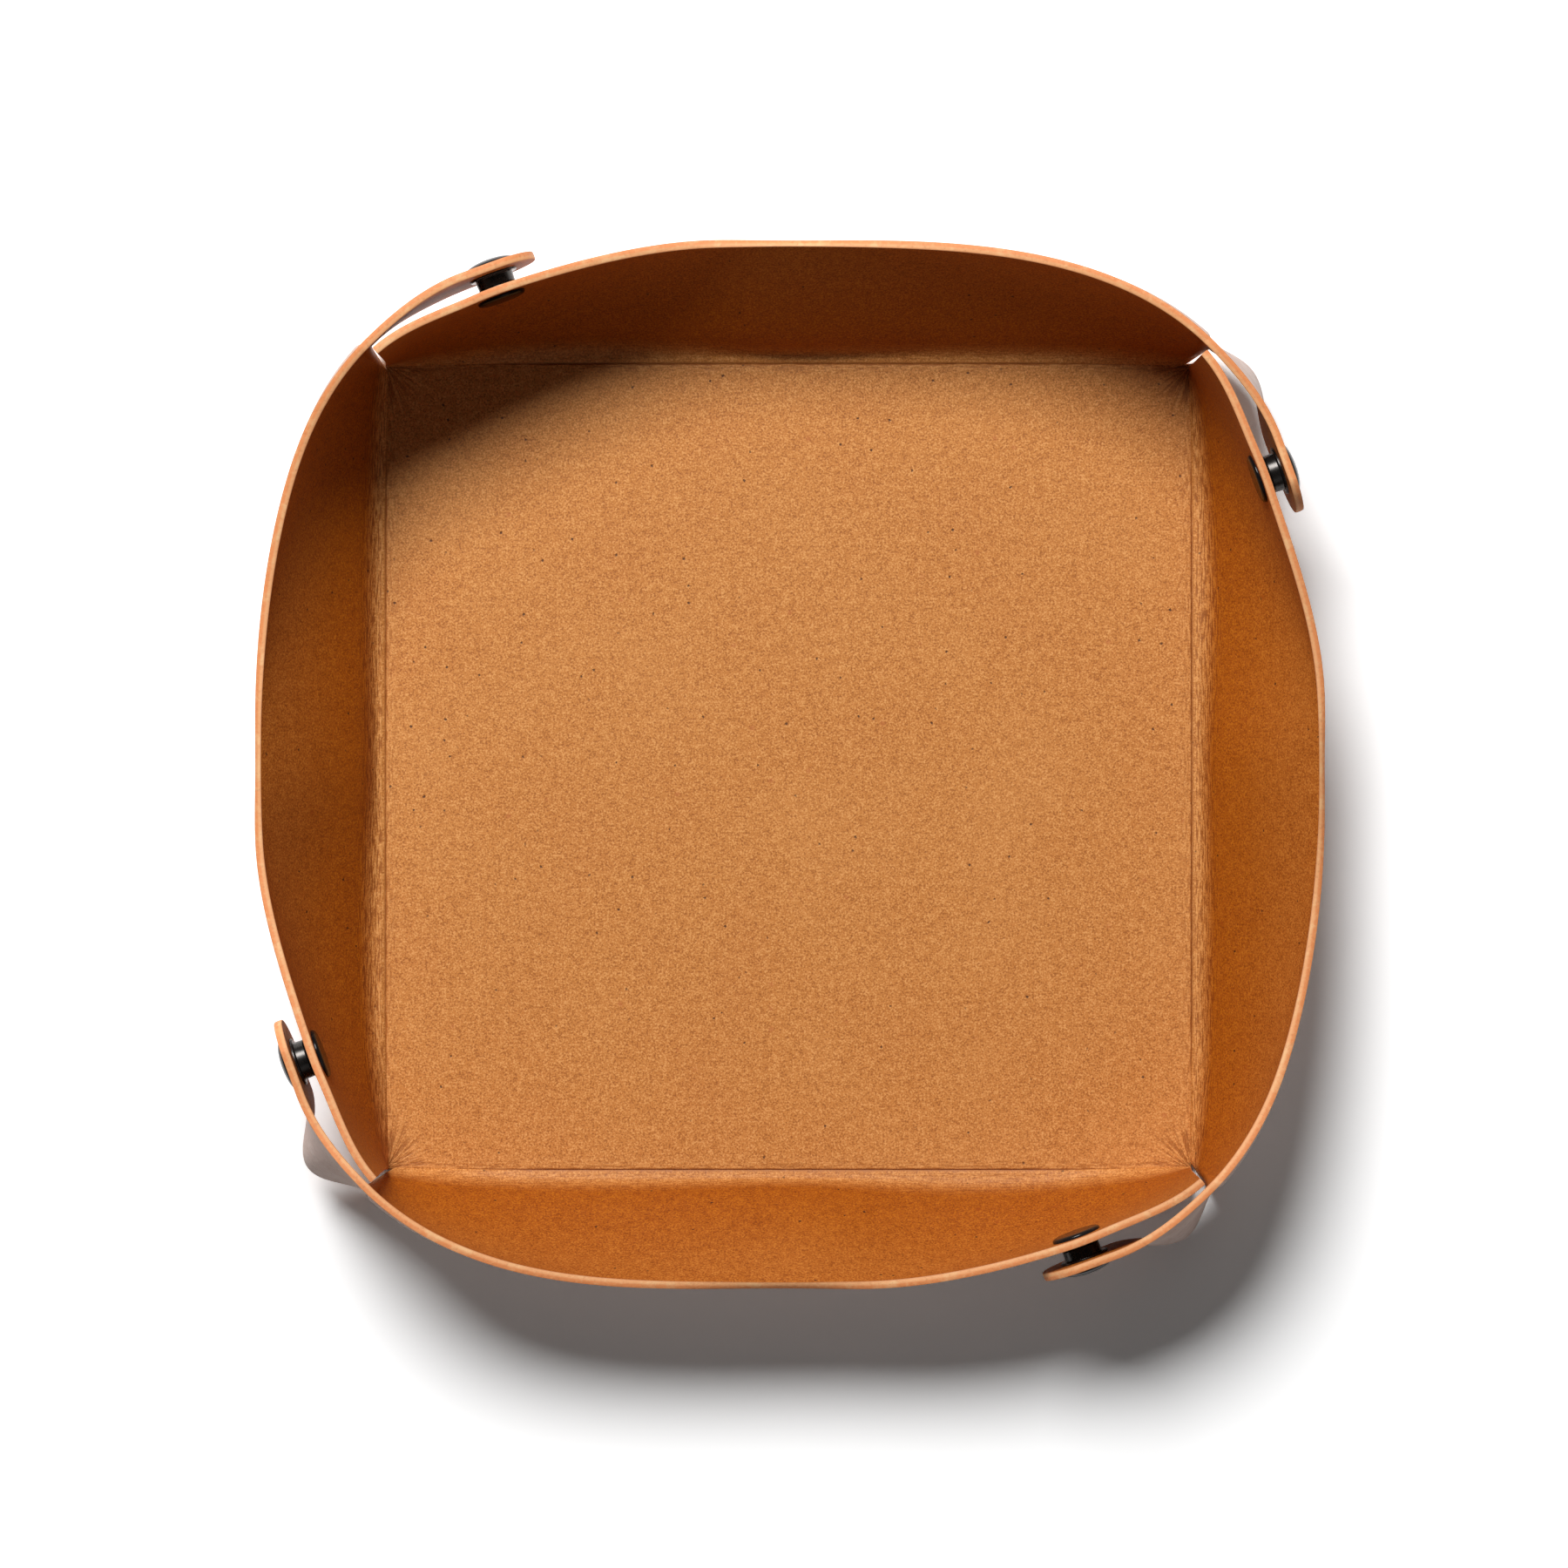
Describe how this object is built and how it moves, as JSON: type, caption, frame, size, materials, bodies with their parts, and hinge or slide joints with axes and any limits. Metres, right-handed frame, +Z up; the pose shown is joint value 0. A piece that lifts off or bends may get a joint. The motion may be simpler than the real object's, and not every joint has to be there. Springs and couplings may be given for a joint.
{
  "type": "valet tray",
  "caption": "Square leather valet tray whose four walls fold up from the floor and are held at each corner by a snap fastener on a wrapped tab.",
  "frame": {"origin": "middle of the tray's underside", "axes": "+Z up, +Y towards the north wall, +X towards the east wall"},
  "size_m": [0.2596, 0.2596, 0.0473],
  "materials": {
    "leather": "vegetable-tanned, matte, fine grain",
    "snap_metal": "glossy black lacquer",
    "spring_steel": "plain spring wire"
  },
  "bodies": {
    "base": {"base_panel": "leather"},
    "wall_north": {"wall_north": "leather", "snap_stud_nw": "snap_metal", "snap_post_nw": "snap_metal"},
    "tab_north": {"tab_north": "leather", "snap_cap_ne": "snap_metal", "snap_socket_ne": "snap_metal", "snap_spring_ne": "spring_steel"},
    "wall_east": {"wall_east": "leather", "snap_stud_ne": "snap_metal", "snap_post_ne": "snap_metal"},
    "tab_east": {"tab_east": "leather", "snap_cap_se": "snap_metal", "snap_socket_se": "snap_metal", "snap_spring_se": "spring_steel"},
    "wall_south": {"wall_south": "leather", "snap_stud_se": "snap_metal", "snap_post_se": "snap_metal"},
    "tab_south": {"tab_south": "leather", "snap_cap_sw": "snap_metal", "snap_socket_sw": "snap_metal", "snap_spring_sw": "spring_steel"},
    "wall_west": {"wall_west": "leather", "snap_stud_sw": "snap_metal", "snap_post_sw": "snap_metal"},
    "tab_west": {"tab_west": "leather", "snap_cap_nw": "snap_metal", "snap_socket_nw": "snap_metal", "snap_spring_nw": "spring_steel"}
  },
  "joints": [
    {"name": "fold_north", "type": "hinge", "parent": "base", "child": "wall_north", "pos_m": [0, 0.1025, 0.0011], "axis": [-1, 0, 0], "range_deg": [0, 41]},
    {"name": "fold_east", "type": "hinge", "parent": "base", "child": "wall_east", "pos_m": [0.1025, 0, 0.0011], "axis": [0, 1, 0], "range_deg": [0, 41]},
    {"name": "fold_south", "type": "hinge", "parent": "base", "child": "wall_south", "pos_m": [0, -0.1025, 0.0011], "axis": [1, 0, 0], "range_deg": [0, 41]},
    {"name": "fold_west", "type": "hinge", "parent": "base", "child": "wall_west", "pos_m": [-0.1025, 0, 0.0011], "axis": [0, -1, 0], "range_deg": [0, 41]},
    {"name": "swing_north", "type": "hinge", "parent": "wall_north", "child": "tab_north", "pos_m": [0.10504, 0.10504, 0.02655], "axis": [-0.0837, -0.0837, 0.993], "range_deg": [0, 82]},
    {"name": "swing_east", "type": "hinge", "parent": "wall_east", "child": "tab_east", "pos_m": [0.10504, -0.10504, 0.02655], "axis": [-0.0837, 0.0837, 0.993], "range_deg": [0, 82]},
    {"name": "swing_south", "type": "hinge", "parent": "wall_south", "child": "tab_south", "pos_m": [-0.10504, -0.10504, 0.02655], "axis": [0.0837, 0.0837, 0.993], "range_deg": [0, 82]},
    {"name": "swing_west", "type": "hinge", "parent": "wall_west", "child": "tab_west", "pos_m": [-0.10504, 0.10504, 0.02655], "axis": [0.0837, -0.0837, 0.993], "range_deg": [0, 82]}
  ],
  "couplings": [
    {"joint": "fold_east", "follows": "fold_north", "ratio": 1},
    {"joint": "fold_south", "follows": "fold_north", "ratio": 1},
    {"joint": "fold_west", "follows": "fold_north", "ratio": 1},
    {"joint": "swing_north", "follows": "fold_north", "ratio": 2},
    {"joint": "swing_east", "follows": "fold_north", "ratio": 2},
    {"joint": "swing_south", "follows": "fold_north", "ratio": 2},
    {"joint": "swing_west", "follows": "fold_north", "ratio": 2}
  ]
}
